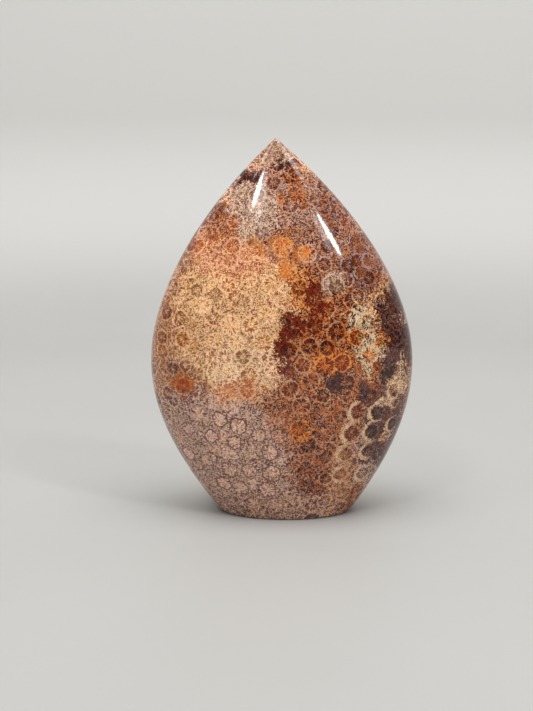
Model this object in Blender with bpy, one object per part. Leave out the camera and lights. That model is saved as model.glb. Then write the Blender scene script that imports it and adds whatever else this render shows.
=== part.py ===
"""A polished fossil coral flame: one piece of agatised coral, ground to a pointed lens and sawn flat at the foot.

Metres, +Z up. The origin is on the table under the middle of the stone. The wide faces look along -Y and +Y.
Run with: blender --background --python part.py
"""

import math

import bmesh
import bpy
from mathutils import Matrix, Vector
from mathutils.geometry import interpolate_bezier

# Overall size of the stone.
HEIGHT = 0.105
HALF_WIDTH = 0.0369
HALF_THICKNESS = 0.0185

# Front outline: how wide the stone is at each level, seen along Y.
WIDEST_LEVEL = 0.0427
FOOT_HALF_WIDTH = 0.0187
FOOT_LEAN = math.radians(37.6)  # how far the flanks lean out from upright, just above the foot
TIP_HALF_ANGLE = math.radians(49.4)
FOOT_HANDLE = 0.0163
BELLY_HANDLE_DOWN = 0.0156
BELLY_HANDLE_UP = 0.0222
TIP_HANDLE = 0.0249

# Side outline: how deep the stone is at each level, seen along X.
DEEPEST_LEVEL = 0.0400
FOOT_HALF_DEPTH = 0.0120
FOOT_SIDE_LEAN = math.radians(17.0)
TIP_SIDE_HALF_ANGLE = math.radians(27.0)
FOOT_SIDE_HANDLE = 0.0120
DEEP_HANDLE_DOWN = 0.0140
DEEP_HANDLE_UP = 0.0280
TIP_SIDE_HANDLE = 0.0240

# The stone isn't quite symmetric: its middle line drifts to -X at the tip and to +X at the foot.
TIP_DRIFT = -0.0018
FOOT_DRIFT = 0.0012
TIP_DRIFT_POWER = 2.2
FOOT_DRIFT_POWER = 1.7

# Small radii left by the polishing wheel.
RIM_RADIUS = 0.0006
TIP_RADIUS = 0.0005

# A shallow chip on the +X flank, just above the foot.
CHIP_LEVEL = 0.0092
CHIP_DEPTH = 0.0006
CHIP_RADII = (0.0035, 0.0070, 0.0044)

# How finely the faceted solid follows the form.
SIDES = 80
OUTLINE_STEPS = 21  # along each of the two curves of an outline
RIM_STEPS = 3
SHARP_ANGLE = math.radians(35.0)  # sharper edges than this stay crisp in the shading

# The stone's mean colour, and how it takes the light.
CORAL_COLOUR = (0.36, 0.19, 0.12, 1.0)
CORAL_ROUGHNESS = 0.15


def clear_scene():
    for item in list(bpy.data.objects):
        bpy.data.objects.remove(item, do_unlink=True)


def new_collection(name):
    collection = bpy.data.collections.new(name)
    bpy.context.scene.collection.children.link(collection)
    return collection


def outline_curve(foot, widest, tip, foot_lean, tip_angle, handles):
    """The two curves of an outline, foot to widest point and on to the tip, as (distance out, level) points."""
    foot_handle, down_handle, up_handle, tip_handle = handles
    lower = interpolate_bezier(
        foot,
        foot + foot_handle * Vector((math.sin(foot_lean), math.cos(foot_lean))),
        widest - Vector((0.0, down_handle)),
        widest,
        OUTLINE_STEPS,
    )
    upper = interpolate_bezier(
        widest,
        widest + Vector((0.0, up_handle)),
        tip + tip_handle * Vector((math.sin(tip_angle), -math.cos(tip_angle))),
        tip,
        OUTLINE_STEPS,
    )
    return lower + upper[1:]


def front_outline():
    return outline_curve(
        Vector((FOOT_HALF_WIDTH, 0.0)),
        Vector((HALF_WIDTH, WIDEST_LEVEL)),
        Vector((0.0, HEIGHT)),
        FOOT_LEAN,
        TIP_HALF_ANGLE,
        (FOOT_HANDLE, BELLY_HANDLE_DOWN, BELLY_HANDLE_UP, TIP_HANDLE),
    )


def side_outline():
    return outline_curve(
        Vector((FOOT_HALF_DEPTH, 0.0)),
        Vector((HALF_THICKNESS, DEEPEST_LEVEL)),
        Vector((0.0, HEIGHT)),
        FOOT_SIDE_LEAN,
        TIP_SIDE_HALF_ANGLE,
        (FOOT_SIDE_HANDLE, DEEP_HANDLE_DOWN, DEEP_HANDLE_UP, TIP_SIDE_HANDLE),
    )


def reach_at(outline, level):
    """How far an outline stands out at a level, between its points."""
    for below, above in zip(outline, outline[1:]):
        if below.y <= level <= above.y:
            share = (level - below.y) / (above.y - below.y)
            return below.x + share * (above.x - below.x)
    return outline[-1].x


def middle_at(level):
    """Where the stone's middle line runs, as an x, at a level."""
    above = max(0.0, (level - WIDEST_LEVEL) / (HEIGHT - WIDEST_LEVEL))
    below = max(0.0, (WIDEST_LEVEL - level) / WIDEST_LEVEL)
    return TIP_DRIFT * above**TIP_DRIFT_POWER + FOOT_DRIFT * below**FOOT_DRIFT_POWER


def rings():
    """Each ring of the stone from the middle of the foot to the tip, as (half width, half depth, level)."""
    front = front_outline()
    side = side_outline()
    found = [(0.0, 0.0, 0.0)]
    for step in range(RIM_STEPS):
        turn = math.pi / 2 * step / RIM_STEPS
        level = RIM_RADIUS * (1 - math.cos(turn))
        inset = RIM_RADIUS * (1 - math.sin(turn))
        found.append((reach_at(front, level) - inset, reach_at(side, level) - inset, level))
    for point in front:
        if RIM_RADIUS <= point.y <= HEIGHT - TIP_RADIUS:
            found.append((point.x, reach_at(side, point.y), point.y))
    found.append((0.0, 0.0, HEIGHT))
    return found


def stone_mesh():
    """The stone as a sphere whose rings are each moved to their own level and stretched to their own ellipse."""
    levels = rings()
    mesh = bpy.data.meshes.new("coral_flame")
    shape = bmesh.new()
    bmesh.ops.create_uvsphere(shape, u_segments=SIDES, v_segments=len(levels) - 1, radius=1.0)
    for vertex in shape.verts:
        from_foot = math.acos(max(-1.0, min(1.0, -vertex.co.z))) / math.pi
        half_width, half_depth, level = levels[round(from_foot * (len(levels) - 1))]
        around = math.atan2(vertex.co.y, vertex.co.x)
        vertex.co = (
            middle_at(level) + half_width * math.cos(around),
            half_depth * math.sin(around),
            level,
        )
    shape.to_mesh(mesh)
    shape.free()
    mesh.shade_smooth()
    mesh.set_sharp_from_angle(angle=SHARP_ANGLE)
    return mesh


def coral_material():
    material = bpy.data.materials.new("polished_coral")
    material.use_nodes = True
    shader = material.node_tree.nodes["Principled BSDF"]
    shader.inputs["Base Color"].default_value = CORAL_COLOUR
    shader.inputs["Roughness"].default_value = CORAL_ROUGHNESS
    shader.inputs["Metallic"].default_value = 0.0
    material.diffuse_color = CORAL_COLOUR
    return material


def add_stone(collection):
    stone = bpy.data.objects.new("coral_flame", stone_mesh())
    stone.data.materials.append(coral_material())
    collection.objects.link(stone)
    return stone


def add_chip_cutter(collection):
    """An egg-shaped cutter that reaches a chip's depth into the +X flank, square to it."""
    front = front_outline()
    above = reach_at(front, CHIP_LEVEL + CHIP_DEPTH)
    at_level = reach_at(front, CHIP_LEVEL)
    lean = math.atan2(above - at_level, CHIP_DEPTH)
    outward = Vector((math.cos(lean), 0.0, -math.sin(lean)))
    on_flank = Vector((middle_at(CHIP_LEVEL) + at_level, 0.0, CHIP_LEVEL))
    mesh = bpy.data.meshes.new("chip_cutter")
    shape = bmesh.new()
    bmesh.ops.create_icosphere(shape, subdivisions=3, radius=1.0)
    bmesh.ops.transform(shape, matrix=Matrix.Diagonal((*CHIP_RADII, 1.0)), verts=shape.verts)
    shape.to_mesh(mesh)
    shape.free()
    cutter = bpy.data.objects.new("chip_cutter", mesh)
    cutter.location = on_flank + outward * (CHIP_RADII[0] - CHIP_DEPTH)
    cutter.rotation_euler = (0.0, lean, 0.0)
    cutter.hide_render = True
    cutter.display_type = "WIRE"
    collection.objects.link(cutter)
    return cutter


def cut_chip(stone, cutter):
    cut = stone.modifiers.new("chip", "BOOLEAN")
    cut.operation = "DIFFERENCE"
    cut.solver = "EXACT"
    cut.object = cutter


def main():
    clear_scene()
    stone = add_stone(new_collection("fossil_coral_flame"))
    cutter = add_chip_cutter(new_collection("cutters"))
    cut_chip(stone, cutter)


main()
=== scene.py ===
"""The looks of a polished fossil coral flame: camera, light, fine surface and the coral's own pattern.

Places and sizes are in metres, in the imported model's frame. In the coral's pattern they are in millimetres.
"""

import math

import bmesh
import bpy
from mathutils import Matrix, Vector, noise
from mathutils.geometry import interpolate_bezier


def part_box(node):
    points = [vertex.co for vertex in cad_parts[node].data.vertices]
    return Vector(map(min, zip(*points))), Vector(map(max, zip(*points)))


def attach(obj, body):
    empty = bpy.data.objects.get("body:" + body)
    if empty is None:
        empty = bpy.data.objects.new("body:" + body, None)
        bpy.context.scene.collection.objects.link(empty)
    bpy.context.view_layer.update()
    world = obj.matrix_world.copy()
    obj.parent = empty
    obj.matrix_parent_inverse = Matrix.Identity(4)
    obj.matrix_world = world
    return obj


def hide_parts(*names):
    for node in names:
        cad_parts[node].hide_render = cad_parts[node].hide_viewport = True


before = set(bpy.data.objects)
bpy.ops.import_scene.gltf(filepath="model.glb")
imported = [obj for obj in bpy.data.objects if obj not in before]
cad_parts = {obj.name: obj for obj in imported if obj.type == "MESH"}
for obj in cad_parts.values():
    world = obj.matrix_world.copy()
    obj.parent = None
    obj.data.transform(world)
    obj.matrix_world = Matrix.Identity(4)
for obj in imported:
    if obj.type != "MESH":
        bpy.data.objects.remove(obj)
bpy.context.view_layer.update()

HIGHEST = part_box("coral_flame")[1]
MILLIMETRE = 0.001

# The stone's form, as its solid has it.
HEIGHT = HIGHEST.z
HALF_WIDTH = HIGHEST.x
HALF_THICKNESS = 0.0185
WIDEST_LEVEL = 0.0427
FOOT_HALF_WIDTH = 0.0187
FOOT_LEAN = math.radians(37.6)
TIP_HALF_ANGLE = math.radians(49.4)
FRONT_HANDLES = (0.0163, 0.0156, 0.0222, 0.0249)
DEEPEST_LEVEL = 0.0400
FOOT_HALF_DEPTH = 0.0120
FOOT_SIDE_LEAN = math.radians(17.0)
TIP_SIDE_HALF_ANGLE = math.radians(27.0)
SIDE_HANDLES = (0.0120, 0.0140, 0.0280, 0.0240)
TIP_DRIFT = -0.0018
FOOT_DRIFT = 0.0012
TIP_DRIFT_POWER = 2.2
FOOT_DRIFT_POWER = 1.7
RIM_RADIUS = 0.0006
TIP_RADIUS = 0.0005

# How fine the surface is.
SIDES = 288
OUTLINE_STEPS = 112
RIM_STEPS = 6
SHARP_ANGLE = math.radians(35.0)  # sharper edges than this stay crisp in the shading

# Slow waves that hand polishing leaves.
WAVE_HEIGHT = 0.00002
WAVE_LENGTH = 0.013
WAVE_START = 0.0012  # how far from the foot and from the tip the waves begin
WAVE_FADE = 0.004  # the length over which they grow to their full height

# The chip low on the +X flank.
CHIP_LEVEL = 0.0092
CHIP_DEPTH = 0.0006
CHIP_REACH = (0.0023, 0.0036)  # along the flank, and to either side of it
CHIP_RAGGEDNESS = 0.35
CHIP_RAG_LENGTH = 0.002
CHIP_FLATNESS = 4  # a higher power makes a flatter floor
CHIP_NEIGHBOURHOOD = 0.0108  # the chip lies well inside this distance of its middle

# The camera stands where the photograph was taken from.
FOCAL_LENGTH = 60.76
SENSOR = 36.0
CAMERA_PLACE = (-0.0043, -0.3340, 0.1023)
CAMERA_PITCH = math.radians(9.81)
NEAREST_SEEN = 0.01

# The soft boxes, seen from the upper part of the stone: the low end and the high end of each one's middle
# line as (azimuth, elevation) in degrees, its width in degrees, its radiance and its distance.
LIT_POINT = Vector((0.0, -0.007, 0.085))
SOFT_BOXES = {
    "left_strip": ((-32.0, 44.2), (-30.0, 51.5), 5.2, 32.0, 1.2),
    "right_strip": ((50.0, 30.6), (45.0, 43.8), 4.4, 32.0, 1.2),
    "left_glow": ((-22.0, 40.0), (-22.0, 52.0), 6.0, 4.0, 1.3),
    "right_glow": ((41.0, 31.0), (38.0, 45.0), 5.0, 3.0, 1.3),
    "overhead": ((0.0, 62.0), (180.0, 80.0), 60.0, 5.4, 1.6),
}
ROOM_COLOUR = (0.93, 0.96, 1.0, 1.0)
ROOM_RADIANCE = 0.14
WIDE_BOX = 20.0  # narrower soft boxes than this taper at their ends

# The sweep that the stone stands on.
SWEEP_FRONT = -1.5
SWEEP_BACK = 0.30
SWEEP_BEND = 0.12
SWEEP_TOP = 1.4
SWEEP_HALF_WIDTH = 1.6
SWEEP_BEND_STEPS = 16
FLOOR_COLOURS = ((162, 161, 158), (172, 171, 168))
FLOOR_NOISE = (6.0, 3.0)  # scale and detail
FLOOR_ROUGHNESS = 0.55
WALL_COLOUR = (217, 216, 212)


class Wire:
    """A number or a vector on its way through a material. Sums and products of wires add their nodes."""

    def __init__(self, graph, socket):
        self.graph = graph
        self.socket = socket
        self.is_vector = socket.type in ("VECTOR", "RGBA")

    def __add__(self, other):
        return self.graph.join("ADD", self, other)

    def __radd__(self, other):
        return self.graph.join("ADD", other, self)

    def __sub__(self, other):
        return self.graph.join("SUBTRACT", self, other)

    def __rsub__(self, other):
        return self.graph.join("SUBTRACT", other, self)

    def __mul__(self, other):
        return self.graph.join("MULTIPLY", self, other)

    def __rmul__(self, other):
        return self.graph.join("MULTIPLY", other, self)

    def __truediv__(self, other):
        return self.graph.join("DIVIDE", self, other)

    def __rtruediv__(self, other):
        return self.graph.join("DIVIDE", other, self)


def is_vector(value):
    return value.is_vector if isinstance(value, Wire) else isinstance(value, (tuple, Vector))


class Graph:
    """The nodes of one material."""

    def __init__(self, name):
        self.material = bpy.data.materials.new(name)
        self.material.use_nodes = True
        self.tree = self.material.node_tree
        self.shader = self.tree.nodes["Principled BSDF"]

    def feed(self, socket, value):
        if isinstance(value, Wire):
            self.tree.links.new(value.socket, socket)
        elif socket.type == "VECTOR" and isinstance(value, (int, float)):
            socket.default_value = (value, value, value)
        else:
            socket.default_value = value

    def node(self, kind, inputs, **settings):
        made = self.tree.nodes.new(kind)
        for name, value in settings.items():
            setattr(made, name, value)
        for key, value in inputs.items():
            self.feed(made.inputs[key], value)
        return made

    def wire(self, node, output=0):
        return Wire(self, node.outputs[output])

    def join(self, operation, first, second):
        kind = "ShaderNodeVectorMath" if is_vector(first) or is_vector(second) else "ShaderNodeMath"
        return self.wire(self.node(kind, {0: first, 1: second}, operation=operation))

    def math(self, operation, first, second=0.0):
        return self.wire(self.node("ShaderNodeMath", {0: first, 1: second}, operation=operation))

    def scale_and_shift(self, vector, factors, shift):
        inputs = {0: vector, 1: factors, 2: shift}
        return self.wire(self.node("ShaderNodeVectorMath", inputs, operation="MULTIPLY_ADD"))

    def length(self, vector):
        return self.wire(self.node("ShaderNodeVectorMath", {0: vector}, operation="LENGTH"), "Value")

    def distance(self, vector, point):
        inputs = {0: vector, 1: point}
        return self.wire(self.node("ShaderNodeVectorMath", inputs, operation="DISTANCE"), "Value")

    def vector(self, x, y, z=0.0):
        return self.wire(self.node("ShaderNodeCombineXYZ", {0: x, 1: y, 2: z}))

    def parts(self, vector):
        split = self.node("ShaderNodeSeparateXYZ", {0: vector})
        return [self.wire(split, axis) for axis in range(3)]

    def rise(self, value, low, high):
        """A smooth step from 0 to 1. It falls where low is more than high."""
        inputs = {"Value": value, "From Min": low, "From Max": high}
        return self.wire(self.node("ShaderNodeMapRange", inputs, interpolation_type="SMOOTHSTEP"))

    def band(self, value, rising, falling):
        """A smooth step up from 0 to 1 and another one down."""
        return self.rise(value, *rising) * self.rise(value, *falling)

    def mix(self, share, first, second):
        vector = is_vector(first) or is_vector(second)
        data_type, start = ("VECTOR", 4) if vector else ("FLOAT", 2)
        mixed = self.node("ShaderNodeMix", {0: share, start: first, start + 1: second}, data_type=data_type)
        return self.wire(mixed, 1 if vector else 0)

    def noise(self, place, scale, detail):
        inputs = {"Vector": place, "Scale": scale, "Detail": detail}
        return self.wire(self.node("ShaderNodeTexNoise", inputs, noise_dimensions="3D"), "Fac")

    def noise_vector(self, place, scale, detail):
        """Three noises at once, each about 0."""
        inputs = {"Vector": place, "Scale": scale, "Detail": detail}
        made = self.node("ShaderNodeTexNoise", inputs, noise_dimensions="3D")
        return self.wire(made, "Color") - (0.5, 0.5, 0.5)

    def cells(self, place, scale, randomness):
        """Flat Voronoi cells, as (the cell's random colour, its middle)."""
        inputs = {"Vector": place, "Scale": scale, "Randomness": randomness}
        made = self.node("ShaderNodeTexVoronoi", inputs, voronoi_dimensions="2D", feature="F1")
        return [self.wire(made, output) for output in ("Color", "Position")]

    def scramble(self, number, factor):
        """A new random number, from 0 to 1, made from another one."""
        return self.math("FRACT", number * factor)

    def same(self, value, number):
        """1 where a value is a certain whole number, and 0 elsewhere."""
        return self.wire(self.node("ShaderNodeMath", {0: value, 1: number, 2: 0.1}, operation="COMPARE"))


def shown(red, green, blue):
    """A colour as a screen shows it, 0 to 255, turned into light values."""
    shares = [level / 255 for level in (red, green, blue)]
    return tuple(((s + 0.055) / 1.055) ** 2.4 if s > 0.04045 else s / 12.92 for s in shares)


def outline_curve(foot, widest, tip, foot_lean, tip_angle, handles):
    """The two curves of an outline, foot to widest point and on to the tip, as (reach, level) points."""
    foot_handle, down_handle, up_handle, tip_handle = handles
    lower = interpolate_bezier(
        foot,
        foot + foot_handle * Vector((math.sin(foot_lean), math.cos(foot_lean))),
        widest - Vector((0.0, down_handle)),
        widest,
        OUTLINE_STEPS,
    )
    upper = interpolate_bezier(
        widest,
        widest + Vector((0.0, up_handle)),
        tip + tip_handle * Vector((math.sin(tip_angle), -math.cos(tip_angle))),
        tip,
        OUTLINE_STEPS,
    )
    return lower + upper[1:]


FRONT_OUTLINE = outline_curve(
    Vector((FOOT_HALF_WIDTH, 0.0)),
    Vector((HALF_WIDTH, WIDEST_LEVEL)),
    Vector((0.0, HEIGHT)),
    FOOT_LEAN,
    TIP_HALF_ANGLE,
    FRONT_HANDLES,
)
SIDE_OUTLINE = outline_curve(
    Vector((FOOT_HALF_DEPTH, 0.0)),
    Vector((HALF_THICKNESS, DEEPEST_LEVEL)),
    Vector((0.0, HEIGHT)),
    FOOT_SIDE_LEAN,
    TIP_SIDE_HALF_ANGLE,
    SIDE_HANDLES,
)


def reach_at(outline, level):
    """How far an outline stands out at a level, between its points."""
    for below, above in zip(outline, outline[1:]):
        if below.y <= level <= above.y:
            share = (level - below.y) / (above.y - below.y)
            return below.x + share * (above.x - below.x)
    return outline[-1].x


def middle_at(level):
    """Where the stone's middle line runs, as an x, at a level."""
    above = max(0.0, (level - WIDEST_LEVEL) / (HEIGHT - WIDEST_LEVEL))
    below = max(0.0, (WIDEST_LEVEL - level) / WIDEST_LEVEL)
    return TIP_DRIFT * above**TIP_DRIFT_POWER + FOOT_DRIFT * below**FOOT_DRIFT_POWER


def rings():
    """Each ring of the stone from the middle of the foot to the tip, as (half width, half depth, level)."""
    found = [(0.0, 0.0, 0.0)]
    for step in range(RIM_STEPS):
        turn = math.pi / 2 * step / RIM_STEPS
        level = RIM_RADIUS * (1 - math.cos(turn))
        inset = RIM_RADIUS * (1 - math.sin(turn))
        found.append((reach_at(FRONT_OUTLINE, level) - inset, reach_at(SIDE_OUTLINE, level) - inset, level))
    for point in FRONT_OUTLINE:
        if RIM_RADIUS <= point.y <= HEIGHT - TIP_RADIUS:
            found.append((point.x, reach_at(SIDE_OUTLINE, point.y), point.y))
    found.append((0.0, 0.0, HEIGHT))
    return found


def shape_rings(shape):
    """Moves each ring of a unit sphere to its own level and stretches it to its own ellipse."""
    levels = rings()
    for vertex in shape.verts:
        from_foot = math.acos(max(-1.0, min(1.0, -vertex.co.z))) / math.pi
        half_width, half_depth, level = levels[round(from_foot * (len(levels) - 1))]
        around = math.atan2(vertex.co.y, vertex.co.x)
        vertex.co = (
            middle_at(level) + half_width * math.cos(around),
            half_depth * math.sin(around),
            level,
        )


def chip_share(place, flank):
    """How deep the chip is at a place near its middle on the flank, from 0 to 1, with a ragged edge."""
    offset = place - flank
    if offset.length > CHIP_NEIGHBOURHOOD:
        return 0.0
    along = math.hypot(offset.x, offset.z) / CHIP_REACH[0]
    distance = math.hypot(along, offset.y / CHIP_REACH[1])
    distance += CHIP_RAGGEDNESS * noise.noise(place / CHIP_RAG_LENGTH)
    return max(0.0, 1 - distance**CHIP_FLATNESS) if distance < 1 else 0.0


def wear_surface(shape):
    """Gives the smooth form its slow polishing waves and its chip."""
    shape.normal_update()
    flank = Vector((middle_at(CHIP_LEVEL) + reach_at(FRONT_OUTLINE, CHIP_LEVEL), 0.0, CHIP_LEVEL))
    moves = []
    for vertex in shape.verts:
        from_end = min(vertex.co.z, HEIGHT - vertex.co.z)
        growth = max(0.0, min(1.0, (from_end - WAVE_START) / WAVE_FADE))
        wave = WAVE_HEIGHT * growth * noise.noise(vertex.co / WAVE_LENGTH)
        moves.append((wave - CHIP_DEPTH * chip_share(vertex.co, flank)) * vertex.normal)
    for vertex, move in zip(shape.verts, moves):
        vertex.co += move


def add_stone():
    mesh = bpy.data.meshes.new("polished_coral")
    shape = bmesh.new()
    bmesh.ops.create_uvsphere(shape, u_segments=SIDES, v_segments=len(rings()) - 1, radius=1.0)
    shape_rings(shape)
    wear_surface(shape)
    shape.to_mesh(mesh)
    shape.free()
    mesh.shade_smooth()
    mesh.set_sharp_from_angle(angle=SHARP_ANGLE)
    stone = bpy.data.objects.new("polished_coral", mesh)
    bpy.context.scene.collection.objects.link(stone)
    return stone


# The corallites are tubes that fan out from far behind the stone. Lengths are in millimetres from here on.
COLONY_BEHIND = 120.0
FRONT_FACE = -15.0  # the y at which the pattern has its true size
COLONY_LEVEL = 50.0
TUBE_BEND_FROM = -2.0  # behind this y the tubes bend, so the back isn't the front's mirror image
TUBE_BEND = (0.55, -0.30)
CORALLITE_RADIUS = 2.35
PLACED_REACH = 1.45  # in radii
FAR_OUT = 9.0  # farther out than this, in radii, nothing is looked for

# The colony grown around the placed corallites: its spacing, and what chance gives each corallite.
SPACING = 5.2
SPACING_RANDOMNESS = 0.72
LEAST_RADIUS = 0.84  # in CORALLITE_RADIUS
RADIUS_RANGE = 0.26
WARM_ONES = (0.4, 1.0)
MOST_WARMTH = 0.35
LEAST_SHADE = -0.3
LEAST_WALL = -0.2
WALL_RANGE = 0.9
LEAST_SEED = 100.0  # above the numbers of the placed ones
SEED_RANGE = 50.0
SCRAMBLES = {"warmth": 7.0, "shade": 5.0, "wall": 9.0, "clearness": 7.3}

# A corallite's look: how orange it is, how pale (1) or dark (-1), and how pale (1) or dark (-1) its wall is.
LOOKS = {
    "orange disc": (0.3, 1.0, 0.4),
    "amber disc": (0.5, 0.1, 0.0),
    "orange star": (0.9, -0.1, 0.0),
    "peach": (0.45, 0.4, 0.0),
    "pale": (0.0, 0.8, 0.3),
    "grey flower": (0.0, -0.2, 0.0),
    "dark ringed": (0.0, 0.9, -1.0),
    "mauve flower": (0.05, 0.6, 0.0),
    "dark star": (0.5, -0.3, 0.2),
    "pale rayed": (0.2, 0.3, 0.7),
    "dark in cream": (0.2, -0.2, 0.3),
    "rust in cream": (0.7, 0.0, 0.1),
}

# The corallites that stand out on the front face, as (x, level, radius).
PLACED = {
    "orange disc": ((0.0, 76.0, 2.7), (6.5, 74.5, 2.5), (1.0, 70.5, 2.7), (-6.0, 75.0, 2.2)),
    "amber disc": ((-27.0, 38.0, 2.6),),
    "orange star": (
        (20.0, 52.0, 2.2), (26.5, 50.5, 1.6), (11.5, 44.5, 2.7), (16.0, 45.5, 2.4), (4.5, 27.5, 2.4),
        (-27.0, 51.0, 2.4), (3.5, 90.0, 2.4), (3.5, 95.5, 2.2), (25.5, 44.0, 1.4), (24.0, 36.0, 2.2),
    ),
    "peach": ((-14.5, 38.0, 2.2), (-9.5, 38.0, 2.1), (-9.0, 42.0, 2.4), (-5.0, 51.0, 2.4), (23.5, 47.0, 2.7)),
    "pale": (
        (-14.0, 55.5, 2.6), (-8.5, 55.5, 2.3), (-12.5, 51.0, 2.1), (-18.0, 51.5, 2.1), (-15.5, 47.0, 2.1),
        (-14.0, 42.7, 2.1), (-2.5, 44.0, 2.3), (-21.5, 60.5, 2.3), (-19.0, 34.5, 2.2), (-13.5, 33.5, 2.3),
    ),
    "grey flower": (
        (-10.5, 47.3, 2.3), (-5.5, 79.8, 2.4), (-1.0, 100.0, 2.2), (9.5, 88.5, 2.4), (-2.5, 93.0, 2.4),
        (-26.5, 44.0, 1.9), (-29.0, 64.0, 2.4), (-23.0, 64.5, 2.2), (-18.0, 74.5, 2.2),
    ),
    "dark ringed": (
        (-17.0, 29.5, 2.1), (-12.0, 28.0, 2.3), (-13.0, 23.3, 1.9), (-26.0, 18.0, 2.2), (-19.5, 24.5, 1.9),
    ),
    "mauve flower": (
        (-26.0, 26.0, 1.9), (-14.5, 15.0, 2.4), (-3.0, 14.5, 2.5), (-3.5, 20.5, 2.3), (-1.0, 25.5, 2.2),
        (-6.5, 25.5, 2.0), (-9.0, 15.0, 2.1), (-16.0, 10.5, 2.2), (-21.0, 17.0, 1.9), (-11.5, 9.5, 2.2),
        (-4.0, 9.5, 2.4), (-2.0, 5.0, 2.2), (3.0, 5.5, 2.2), (-8.0, 5.0, 2.2), (12.0, 5.5, 2.2),
    ),
    "dark star": (
        (14.5, 53.8, 2.6), (12.0, 49.5, 2.3), (8.5, 55.5, 2.4), (7.0, 50.0, 2.3), (1.5, 49.0, 2.4),
        (14.5, 41.0, 2.2), (4.5, 65.5, 2.4), (14.5, 65.5, 2.4), (23.5, 67.5, 2.2), (12.0, 19.0, 2.2),
        (6.5, 15.5, 2.6), (7.0, 22.5, 2.4), (12.0, 12.5, 2.1), (16.5, 8.0, 1.4),
    ),
    "pale rayed": (
        (23.5, 72.0, 2.3), (11.5, 60.0, 2.6), (20.5, 63.0, 2.0), (17.5, 36.0, 1.6), (2.0, 38.5, 2.4),
        (7.5, 40.5, 2.4), (5.5, 45.0, 2.2), (5.0, 34.0, 2.4),
    ),
    "dark in cream": (
        (26.0, 31.0, 2.3), (24.5, 25.3, 2.4), (23.6, 19.5, 2.1), (22.5, 12.7, 2.2), (30.5, 26.5, 1.9),
        (31.0, 33.0, 1.4),
    ),
    "rust in cream": ((20.5, 31.5, 2.3), (19.0, 25.5, 2.5), (17.4, 19.5, 2.3), (16.1, 13.5, 2.2)),
}

# The stone's colours: pale between the specks, and dark in them.
PALETTE = {
    "cream": ((251, 202, 152), (134, 79, 47)),
    "light cream": ((255, 213, 169), (144, 89, 56)),
    "peach": ((246, 188, 143), (160, 86, 51)),
    "tan": ((234, 175, 132), (116, 68, 46)),
    "dust": ((222, 179, 154), (100, 61, 50)),
    "smoke": ((202, 170, 141), (126, 86, 69)),
    # Grey is partly the stone's own pale grey and partly painted sheen: the whitish haze of reflections near
    # the highlights.
    "grey": ((218, 188, 165), (116, 78, 63)),
    "mauve": ((230, 190, 168), (98, 56, 47)),
    "rose": ((190, 140, 116), (80, 38, 31)),
    "clay": ((212, 149, 111), (110, 54, 27)),
    "grey rose": ((192, 150, 128), (96, 52, 42)),
    "light rust": ((198, 142, 112), (90, 40, 22)),
    "plum": ((166, 112, 93), (66, 32, 26)),
    "rust": ((204, 127, 82), (68, 20, 9)),
    "dark rust": ((206, 126, 88), (42, 11, 6)),
    "burnt orange": ((242, 149, 66), (110, 38, 6)),
    "orange": ((232, 154, 88), (110, 48, 18)),
    "honey": ((208, 142, 86), (140, 74, 36)),
    "liver": ((132, 47, 21), (68, 19, 8)),
    "amber": ((206, 108, 20), (126, 50, 3)),
    "chalk": ((244, 208, 168), (146, 96, 66)),
    "maroon": ((134, 84, 70), (42, 14, 14)),
    "dark maroon": ((110, 66, 56), (32, 11, 11)),
    "purple": ((100, 58, 54), (32, 13, 16)),
    "green cream": ((234, 202, 164), (58, 40, 30)),
    "matrix": ((242, 204, 164), (120, 66, 42)),
}
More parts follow.
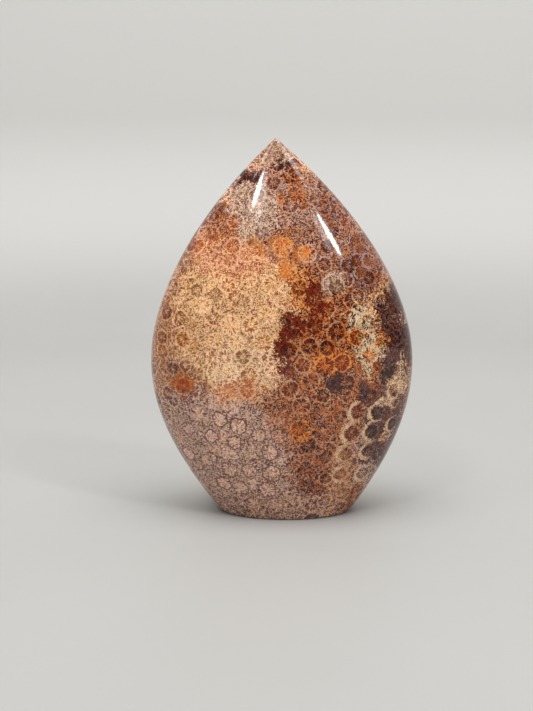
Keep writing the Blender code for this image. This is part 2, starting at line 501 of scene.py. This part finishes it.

# The stains on the front, painted one over the other: colour, middle (x, level), half sizes. Some hold
# painted sheen and painted darkening, as marked.
STAINS_AND_PAINTED_LIGHT = (
    ("mauve", (-16.0, 20.0), (20.0, 17.0)),
    ("mauve", (-8.0, 9.0), (14.0, 16.0)),
    ("rust", (10.0, 44.0), (15.0, 27.0)),
    ("dark rust", (8.5, 19.0), (6.5, 13.0)),
    ("dust", (2.0, 4.0), (14.0, 5.0)),
    ("cream", (-16.0, 57.0), (18.0, 19.0)),
    ("cream", (-7.0, 48.0), (7.0, 11.0)),
    ("cream", (-7.0, 64.0), (11.0, 10.0)),
    ("light cream", (-11.0, 44.0), (10.5, 9.0)),
    ("peach", (-14.0, 74.0), (13.0, 6.0)),
    ("peach", (-12.0, 38.0), (7.0, 3.0)),
    ("tan", (-34.0, 53.0), (5.0, 19.0)),
    ("rose", (13.0, 80.0), (10.0, 11.0)),
    ("plum", (15.0, 91.0), (6.0, 12.0)),
    ("grey rose", (3.0, 90.0), (9.0, 8.0)),
    ("rust", (3.5, 94.0), (3.0, 2.4)),
    ("rust", (-0.5, 88.5), (2.4, 1.6)),
    ("rust", (5.0, 89.5), (2.2, 1.6)),
    # Partly painted sheen: this grey patch beside the left highlight stands partly for the haze reflected
    # there.
    ("grey", (-8.0, 85.0), (7.0, 8.0)),
    # Painted darkening: this plum patch darkens the upper left edge where a nearby leaf darkens the stone,
    # not the stone's own colour.
    ("plum", (-20.0, 86.0), (5.0, 7.0)),
    ("clay", (-16.5, 80.5), (4.5, 4.5)),
    ("smoke", (-2.0, 102.0), (6.0, 5.0)),
    ("purple", (-9.5, 94.5), (4.0, 2.0)),
    ("purple", (0.8, 96.8), (3.6, 1.5)),
    ("plum", (23.0, 72.0), (6.0, 10.0)),
    ("light rust", (1.0, 75.0), (9.0, 3.5)),
    ("honey", (0.0, 76.0), (2.9, 2.6)),
    ("honey", (6.5, 74.5), (2.7, 2.5)),
    ("honey", (1.0, 70.5), (2.9, 2.5)),
    ("honey", (-6.5, 75.5), (2.3, 2.0)),
    ("orange", (4.5, 64.5), (2.6, 5.0)),
    ("liver", (8.5, 65.0), (2.2, 2.6)),
    ("liver", (9.5, 60.5), (3.0, 1.8)),
    ("liver", (5.0, 57.0), (3.4, 1.8)),
    ("liver", (1.4, 54.0), (3.0, 2.4)),
    ("liver", (-0.8, 50.0), (3.0, 3.0)),
    ("liver", (0.8, 45.0), (1.8, 3.4)),
    # Partly painted sheen: this grey patch at the low end of the right highlight stands partly for a greyish
    # reflection.
    ("grey", (14.0, 67.0), (4.0, 3.0)),
    ("burnt orange", (13.0, 45.5), (6.0, 3.4)),
    ("dark maroon", (32.0, 52.5), (6.3, 16.5)),
    ("maroon", (29.0, 26.0), (7.0, 14.0)),
    ("tan", (16.5, 17.0), (2.6, 5.0)),
    ("tan", (15.5, 9.5), (4.0, 4.5)),
    ("purple", (14.5, 39.5), (3.6, 2.4)),
    ("purple", (21.5, 37.5), (2.0, 3.0)),
    ("green cream", (21.0, 57.0), (3.0, 5.5)),
    ("green cream", (23.0, 48.0), (3.6, 5.5)),
    ("burnt orange", (20.0, 52.0), (2.1, 1.6)),
    ("burnt orange", (26.5, 50.3), (1.6, 1.3)),
    ("burnt orange", (23.2, 46.8), (1.9, 1.1)),
    ("burnt orange", (25.4, 43.8), (1.3, 1.6)),
    ("burnt orange", (4.5, 26.5), (2.6, 2.6)),
    ("amber", (-27.0, 38.3), (3.3, 2.4)),
    ("chalk", (32.4, 55.5), (0.4, 1.8)),
    ("chalk", (33.4, 42.6), (1.4, 3.7)),
    ("chalk", (31.6, 38.0), (2.0, 3.2)),
    ("chalk", (28.8, 34.3), (2.4, 1.4)),
    ("chalk", (29.3, 23.5), (1.2, 2.4)),
)
STAIN_MIDDLE_Y = -14.0
STAIN_DEPTH = 24.0  # how far a stain reaches into the stone
STAIN_WANDER = 7.0
STAIN_FRAY = 8.0
STAIN_GRAINS = 6.0
STAIN_SNAP = 0.15  # how far a stain's edge keeps to whole corallites

# The broad patches under the stains: colour, how far its noise is shifted, that noise's scale, and its edge.
BARE_COLOUR = "rose"
PATCHES = (
    ("mauve", 200.0, 0.045, (0.44, 0.54)),
    ("rust", 160.0, 0.060, (0.50, 0.60)),
    ("cream", 200.0, 0.050, (0.54, 0.64)),
)
PATCH_DETAIL = 3.0

# The noises that break the pattern up, as (scale, detail).
NOISES = {
    "wobble": (0.35, 1.0),
    "fine wobble": (1.2, 1.0),
    "grain": (2.5, 1.0),
    "wander": (0.13, 2.0),
    "fray": (0.5, 3.0),
    "drift": (0.55, 3.0),
    "septa": (1.0, 1.0),
    "ragged": (0.9, 2.0),
    "relief": (0.8, 2.0),
}
WOBBLE = 1.1
FINE_WOBBLE = 0.8

# Edges, as (where the edge begins, where it is complete). A falling edge has the larger value first.
STAIN_EDGE = (1.18, 0.80)  # in half sizes of the stain
RINGED_EDGE = (1.15, 0.85)
SNAP_EDGE = (1.6, 1.0)  # in radii of the corallite, like the edges below
INSIDE = (1.15, 0.80)
CORE = (0.75, 0.15)
STREAKS = ((0.10, 0.32), (1.40, 1.05))
CHAMBERS = ((0.22, 0.45), (0.95, 0.78))
FLOWER_WALL = ((0.88, 0.97), (1.09, 1.00))
OUTSIDE = (1.03, 1.20)
RING = ((0.84, 0.93), (1.11, 1.02))

# Septa are noise on a ring around the corallite's middle.
SEPTA_RING = 5.8  # a larger ring gives more septa
SEPTA_BREAKS = 2.3
SEPTA_SEEDS = 31.0
SEPTA_HUB = 0.05  # nearer to the middle than this, in radii, the septa fade

# How much darker the chambers and the stone outside a corallite are, and how much paler its wall is.
CHAMBER_DARK = 0.08
OUTSIDE_DARK = 0.03
FLOWER_WALL_PALE = 0.12
LEAST_CLEAR = 0.5  # how clearly the plainest corallite shows them
MOST_STREAKY = 0.8
SHADE_PALES = 0.045
CREAM_PALES = 0.038
DARKENING = (-0.04, 0.09)  # the edge between pale and dark stone

# What the colours are multiplied by as the hue drifts, first in cream and then in rust.
DRIFT = (0.42, 0.60)
DRIFT_GRAINS = 0.6
RUSTY = (0.40, 0.17)  # the green in the pale colour
CREAMY = (0.48, 0.58)
PINKISH = ((1.00, 0.98, 1.04), (1.05, 1.34, 1.64))
ORANGE = ((0.98, 0.92, 0.77), (0.95, 0.72, 0.36))
WINE = ((1.16, 0.84, 0.82), (0.90, 0.85, 0.90))
BROWN = ((0.96, 1.00, 0.96), (2.0, 1.45, 0.80))
PALE_TONES = 1.5
DARK_TONE = 1.1
DARK_TONES = (2.2, 4.0)

# A corallite's tint and shade.
WHITE = (1.0, 1.0, 1.0)
WARM_TINT = (1.0, 0.76, 0.46)
RIM_WARMTH = 0.75  # how much of its warmth reaches its rim
PALE_LEVEL = 0.95
PALE_SHADING = 0.25
DARK_SHADING = 0.4

# Low on the left the corallites have thin dark walls and pale middles.
RINGED_ZONE = ((-15.0, 18.0), (21.0, 17.0))
RINGED_WALL = 0.68
RINGED_SHADE = 0.15
RINGED_BLUR = 0.6

# Walls that are drawn in pale or in dark.
RAGGEDNESS = 0.5
DARK_WALL = (-0.2, -0.8)
PALE_WALL = (0.0, 0.8)
PALE_WALL_TINTS = ((1.03, 1.06, 1.08), (1.15, 1.35, 1.55))
PALE_WALL_CLEARS = 0.5

# These corallites have pale matrix to their left.
IN_MATRIX = ("dark in cream", "rust in cream")
MATRIX_FRAY = 0.7
MATRIX_SIDE = 0.36
MATRIX_INNER = (1.02, 1.20)
MATRIX_OUTER = (1.50, 1.34)
MATRIX_TINTS = ((1.0, 1.0, 1.05), (0.95, 0.80, 0.65))
MATRIX_CLEARS = 0.5

# The polish: pale stone takes it a little better than dark stone.
ROUGHNESS = (0.05, 0.10)
REFRACTION = 1.50
RELIEF_STRENGTH = 0.25
RELIEF_HEIGHT = 0.00003  # in metres


def on_front(x, level):
    """The growth coordinates of a place on the stone's front face."""
    across = (x * MILLIMETRE - middle_at(level * MILLIMETRE)) / reach_at(FRONT_OUTLINE, level * MILLIMETRE)
    depth = reach_at(SIDE_OUTLINE, level * MILLIMETRE) * math.sqrt(max(0.0, 1 - across**2)) / MILLIMETRE
    spread = (COLONY_BEHIND - FRONT_FACE) / (COLONY_BEHIND + depth)
    return x * spread, (level - COLONY_LEVEL) * spread


def growth_coordinates(graph, place):
    """The stone's places seen along the tubes: two coordinates across them, in millimetres."""
    x, y, z = graph.parts(place)
    spread = (COLONY_BEHIND - FRONT_FACE) / (COLONY_BEHIND - y)
    behind = graph.math("MAXIMUM", y - TUBE_BEND_FROM, 0.0)
    across = graph.vector(x, z - COLONY_LEVEL) * spread
    bend = graph.vector(behind * TUBE_BEND[0], behind * TUBE_BEND[1])
    return across + bend


def wobbled_growth(graph, place):
    """The growth coordinates, wandering a little, so that no corallite is a true circle."""
    growth = growth_coordinates(graph, place)
    wobble = graph.noise_vector(place, *NOISES["wobble"]) * WOBBLE
    fine_wobble = graph.noise_vector(place, *NOISES["fine wobble"]) * FINE_WOBBLE
    across, _, up = graph.parts(wobble + fine_wobble)
    return growth + graph.vector(across, up)


def grown_corallite(graph, growth):
    """The nearest corallite of the grown colony: the place in it, in radii, with a seed, and its look."""
    colour, middle = graph.cells(growth, 1 / SPACING, SPACING_RANDOMNESS)
    red, green, blue = graph.parts(colour)
    radius = CORALLITE_RADIUS * (LEAST_RADIUS + RADIUS_RANGE * red)
    local_x, local_y, _ = graph.parts((growth - middle) / radius)
    warmth = graph.rise(graph.scramble(red, SCRAMBLES["warmth"]), *WARM_ONES) * MOST_WARMTH
    shade = graph.scramble(blue, SCRAMBLES["shade"]) + LEAST_SHADE
    wall = graph.scramble(green, SCRAMBLES["wall"]) * WALL_RANGE + LEAST_WALL
    return graph.vector(local_x, local_y, green * SEED_RANGE + LEAST_SEED), graph.vector(warmth, shade, wall)


def placed_corallite(graph, growth):
    """The nearest of the listed corallites: the place in it, in radii, with its number as a seed."""
    nearest = (FAR_OUT, FAR_OUT, 0.0)
    distance = FAR_OUT
    for number, spots in enumerate(PLACED.values(), 1):
        for index, (x, level, radius) in enumerate(spots):
            across, up = on_front(x, level)
            mark = number + index / (2 * len(spots))
            factors = (1 / radius, 1 / radius, 0.0)
            own = graph.scale_and_shift(growth, factors, (-across / radius, -up / radius, mark))
            own_distance = graph.distance(own, (0.0, 0.0, mark))
            nearest = graph.mix(graph.math("LESS_THAN", own_distance, distance), nearest, own)
            distance = graph.math("MINIMUM", own_distance, distance)
    return nearest, graph.math("LESS_THAN", distance, PLACED_REACH)


def nearest_corallite(graph, growth):
    """The place in the nearest corallite, in radii and with a seed, and that corallite's look."""
    placed, is_placed = placed_corallite(graph, growth)
    grown, look = grown_corallite(graph, growth)
    local = graph.mix(is_placed, grown, placed)
    _, _, seed = graph.parts(local)
    number = graph.math("FLOOR", seed)
    for kind_number, kind in enumerate(PLACED, 1):
        look = graph.mix(graph.same(number, kind_number), look, LOOKS[kind])
    return local, look


def septa(graph, local_x, local_y, out, seed):
    """Streaks that point to the corallite's middle: below 0 on pale septa, above 0 in dark chambers."""
    reach = graph.math("MAXIMUM", out, SEPTA_HUB)
    turn_x = local_x * SEPTA_RING / reach
    turn_y = local_y * SEPTA_RING / reach
    outwards = out * SEPTA_BREAKS + seed * SEPTA_SEEDS
    return graph.noise(graph.vector(turn_x, turn_y, outwards), *NOISES["septa"]) - 0.5


def flower(graph, out):
    """A corallite's own bands: its chambers are darker, its wall is paler, and so is its middle."""
    chambers = graph.band(out, *CHAMBERS)
    wall = graph.band(out, *FLOWER_WALL)
    outside = graph.rise(out, *OUTSIDE)
    return chambers * CHAMBER_DARK - wall * FLOWER_WALL_PALE + outside * OUTSIDE_DARK


def stain_distance(graph, place, middle, sizes):
    """How far a place is from a stain's middle, in half sizes of the stain."""
    (x, level), (half_width, half_height) = middle, sizes
    factors = (1 / half_width, 1 / STAIN_DEPTH, 1 / half_height)
    shift = (-x / half_width, -STAIN_MIDDLE_Y / STAIN_DEPTH, -level / half_height)
    return graph.length(graph.scale_and_shift(place, factors, shift))


def paint(graph, colours, share, kind):
    """Lays a colour of the palette over a pale and a dark colour."""
    return [graph.mix(share, under, shown(*over)) for under, over in zip(colours, PALETTE[kind])]


def ground_colours(graph, place):
    """The pale and the dark colour of the stone, from its broad patches and its stains, with the painted
    sheen and painted darkening among them.
    """
    colours = [shown(*colour) for colour in PALETTE[BARE_COLOUR]]
    for kind, shift, scale, edge in PATCHES:
        share = graph.rise(graph.noise(place + shift, scale, PATCH_DETAIL), *edge)
        colours = paint(graph, colours, share, kind)
    for kind, middle, sizes in STAINS_AND_PAINTED_LIGHT:
        share = graph.rise(stain_distance(graph, place, middle, sizes), *STAIN_EDGE)
        colours = paint(graph, colours, share, kind)
    return colours


class Coral(Graph):
    """The coral's pattern: a pale colour, a dark colour, and how dark each place is."""

    def __init__(self):
        super().__init__("polished_coral")
        self.place = self.wire(self.node("ShaderNodeTexCoord", {}), "Object") * (1 / MILLIMETRE)
        local, look = nearest_corallite(self, wobbled_growth(self, self.place))
        self.x, self.y, self.seed = self.parts(local)
        self.warmth, self.shade, self.wall = self.parts(look)
        self.out = self.length(self.vector(self.x, self.y))
        self.grain = self.noise_vector(self.place, *NOISES["grain"])
        self.speckle, self.tone, self.hue = self.parts(self.grain)

    def stain(self):
        """Stains keep partly to whole corallites, wander, and fray at their edges, grain by grain."""
        x, y, z = self.parts(self.place)
        snap = STAIN_SNAP * CORALLITE_RADIUS * self.rise(self.out, *SNAP_EDGE)
        wander = self.noise_vector(self.place, *NOISES["wander"]) * STAIN_WANDER
        wander = wander + self.noise_vector(self.place, *NOISES["fray"]) * STAIN_FRAY
        snapped = self.vector(x - self.x * snap, y, z - self.y * snap)
        self.stain_place = snapped + wander + self.grain * STAIN_GRAINS
        self.pale, self.dark = ground_colours(self, self.stain_place)

    def drift_hues(self):
        """The hue drifts over a millimetre or two, and from grain to grain."""
        self.drift = self.rise(self.noise(self.place, *NOISES["drift"]) + DRIFT_GRAINS * self.hue, *DRIFT)
        _, green, _ = self.parts(self.pale)
        self.rusty = self.rise(green, *RUSTY)
        self.creamy = self.rise(green, *CREAMY)
        pinkish = self.mix(self.rusty, *PINKISH)
        orange = self.mix(self.rusty, *ORANGE)
        self.pale = self.pale * self.mix(self.drift, pinkish, orange) * (1.0 + PALE_TONES * self.tone)
        wine = self.mix(self.rusty, *WINE)
        brown = self.mix(self.rusty, *BROWN)
        self.dark = self.dark * self.mix(self.drift, wine, brown)
        self.dark = self.dark * (DARK_TONE - self.mix(self.rusty, *DARK_TONES) * self.tone)

    def tint_corallites(self):
        """Each corallite has its own tint, and is paler or darker than the stone between."""
        self.ringed = self.rise(stain_distance(self, self.stain_place, *RINGED_ZONE), *RINGED_EDGE)
        self.wall = self.wall - RINGED_WALL * self.ringed
        shade = self.shade + RINGED_SHADE * self.ringed
        inside = self.rise(self.out, *INSIDE)
        core = self.rise(self.out, *CORE)
        warm = self.warmth * self.math("MAXIMUM", inside * RIM_WARMTH, core)
        tint = self.mix(warm, WHITE, WARM_TINT)
        self.shade_here = inside * shade
        self.pale = self.pale * tint * (PALE_LEVEL + PALE_SHADING * self.shade_here)
        self.dark = self.dark * (1.0 + DARK_SHADING * self.shade_here)

    def share_out(self):
        """Streaks inside the corallites and specks between them share the stone out between pale and dark."""
        streaky = MOST_STREAKY * self.band(self.out, *STREAKS)
        clearness = LEAST_CLEAR + self.scramble(self.seed, SCRAMBLES["clearness"])
        clearness = clearness * (1.0 - RINGED_BLUR * self.ringed)
        streaks = septa(self, self.x, self.y, self.out, self.seed)
        field = self.mix(streaky, self.speckle, streaks) + flower(self, self.out) * clearness
        field = field - SHADE_PALES * self.shade_here - CREAM_PALES * self.creamy
        self.darkness = self.rise(field, *DARKENING)

    def draw_walls(self):
        """Some corallites have a ragged dark wall, and some a ragged pale one."""
        raggedness = self.noise(self.place, *NOISES["ragged"]) * RAGGEDNESS
        self.ragged = self.out + raggedness - RAGGEDNESS / 2
        ring = self.band(self.ragged, *RING)
        dark_wall = self.rise(self.wall, *DARK_WALL) * ring
        pale_wall = self.rise(self.wall, *PALE_WALL) * ring
        left_dark = self.darkness * (1.0 - PALE_WALL_CLEARS * pale_wall)
        self.darkness = self.math("MAXIMUM", left_dark, dark_wall)
        self.pale = self.pale * self.mix(pale_wall, WHITE, self.mix(self.rusty, *PALE_WALL_TINTS))

    def lay_matrix(self):
        """The matrix lies in ragged crescents to the left of some corallites."""
        pale_matrix, dark_matrix = [shown(*colour) for colour in PALETTE["matrix"]]
        number = self.math("FLOOR", self.seed)
        first, second = [self.same(number, list(PLACED).index(kind) + 1) for kind in IN_MATRIX]
        frayed = self.ragged + MATRIX_FRAY * self.speckle
        matrix = self.rise(frayed - MATRIX_SIDE * self.x, *MATRIX_INNER) * self.rise(frayed, *MATRIX_OUTER)
        matrix = matrix * (first + second)
        self.darkness = self.darkness * (1.0 - MATRIX_CLEARS * matrix)
        self.pale = self.mix(matrix, self.pale, self.mix(self.drift, *MATRIX_TINTS) * pale_matrix)
        self.dark = self.mix(matrix, self.dark, dark_matrix)

    def polish(self):
        """Gives the shader the pattern and the polish."""
        self.feed(self.shader.inputs["Base Color"], self.mix(self.darkness, self.pale, self.dark))
        self.feed(self.shader.inputs["Roughness"], self.mix(self.darkness, *ROUGHNESS))
        self.shader.inputs["IOR"].default_value = REFRACTION
        relief = self.noise(self.place, *NOISES["relief"])
        inputs = {"Strength": RELIEF_STRENGTH, "Distance": RELIEF_HEIGHT, "Height": relief}
        self.feed(self.shader.inputs["Normal"], self.wire(self.node("ShaderNodeBump", inputs)))


def coral_material():
    coral = Coral()
    coral.stain()
    coral.drift_hues()
    coral.tint_corallites()
    coral.share_out()
    coral.draw_walls()
    coral.lay_matrix()
    coral.polish()
    return coral.material


def floor_material():
    graph = Graph("pale_floor")
    place = graph.wire(graph.node("ShaderNodeTexCoord", {}), "Object")
    _, _, level = graph.parts(place)
    floor = graph.mix(graph.noise(place, *FLOOR_NOISE), *[shown(*colour) for colour in FLOOR_COLOURS])
    colour = graph.mix(graph.rise(level, 0.0, SWEEP_BEND), floor, shown(*WALL_COLOUR))
    graph.feed(graph.shader.inputs["Base Color"], colour)
    graph.shader.inputs["Roughness"].default_value = FLOOR_ROUGHNESS
    return graph.material


def add_sweep():
    """A floor that bends up into a wall behind the stone."""
    bend = [
        (SWEEP_BACK + SWEEP_BEND * math.sin(turn), SWEEP_BEND * (1 - math.cos(turn)))
        for turn in (math.pi / 2 * step / SWEEP_BEND_STEPS for step in range(SWEEP_BEND_STEPS + 1))
    ]
    profile = [(SWEEP_FRONT, 0.0)] + bend + [(SWEEP_BACK + SWEEP_BEND, SWEEP_TOP)]
    shape = bmesh.new()
    left = [shape.verts.new((-SWEEP_HALF_WIDTH, y, z)) for y, z in profile]
    right = [shape.verts.new((SWEEP_HALF_WIDTH, y, z)) for y, z in profile]
    for step in range(len(profile) - 1):
        shape.faces.new((left[step], right[step], right[step + 1], left[step + 1]))
    mesh = bpy.data.meshes.new("sweep")
    shape.to_mesh(mesh)
    shape.free()
    mesh.shade_smooth()
    mesh.materials.append(floor_material())
    sweep = bpy.data.objects.new("sweep", mesh)
    bpy.context.scene.collection.objects.link(sweep)


def direction(azimuth, elevation):
    """A direction from the stone: azimuth 0 looks along -Y, to the camera, and grows towards +X."""
    turn, lift = math.radians(azimuth), math.radians(elevation)
    return Vector((math.sin(turn) * math.cos(lift), -math.cos(turn) * math.cos(lift), math.sin(lift)))


def add_soft_box(name, low_end, high_end, width, radiance, distance):
    """A flat light whose middle line runs between two directions. Its width is an angle in degrees."""
    low = LIT_POINT + distance * direction(*low_end)
    high = LIT_POINT + distance * direction(*high_end)
    middle = (low + high) / 2
    back = (middle - LIT_POINT).normalized()
    across = (high - low).cross(back).normalized()
    data = bpy.data.lights.new(name, "AREA")
    data.shape = "ELLIPSE" if width < WIDE_BOX else "RECTANGLE"
    data.size = 2 * distance * math.tan(math.radians(width) / 2)
    data.size_y = (high - low).length
    data.energy = radiance * math.pi * data.size * data.size_y
    light = bpy.data.objects.new(name, data)
    light.location = middle
    light.rotation_euler = Matrix((across, back.cross(across), back)).transposed().to_euler()
    bpy.context.scene.collection.objects.link(light)


def add_lights():
    for name, (low_end, high_end, width, radiance, distance) in SOFT_BOXES.items():
        add_soft_box(name, low_end, high_end, width, radiance, distance)
    world = bpy.data.worlds.new("room")
    world.use_nodes = True
    room = world.node_tree.nodes["Background"]
    room.inputs["Color"].default_value = ROOM_COLOUR
    room.inputs["Strength"].default_value = ROOM_RADIANCE
    bpy.context.scene.world = world


def add_camera():
    data = bpy.data.cameras.new("camera")
    data.lens = FOCAL_LENGTH
    data.sensor_width = SENSOR
    data.clip_start = NEAREST_SEEN
    camera = bpy.data.objects.new("camera", data)
    camera.location = CAMERA_PLACE
    camera.rotation_euler = (math.pi / 2 - CAMERA_PITCH, 0.0, 0.0)
    bpy.context.scene.collection.objects.link(camera)
    bpy.context.scene.camera = camera


add_camera()
add_lights()
add_sweep()
stone = add_stone()
stone.data.materials.append(coral_material())
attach(stone, "root")
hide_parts("coral_flame")
bpy.context.scene.view_settings.view_transform = "Standard"
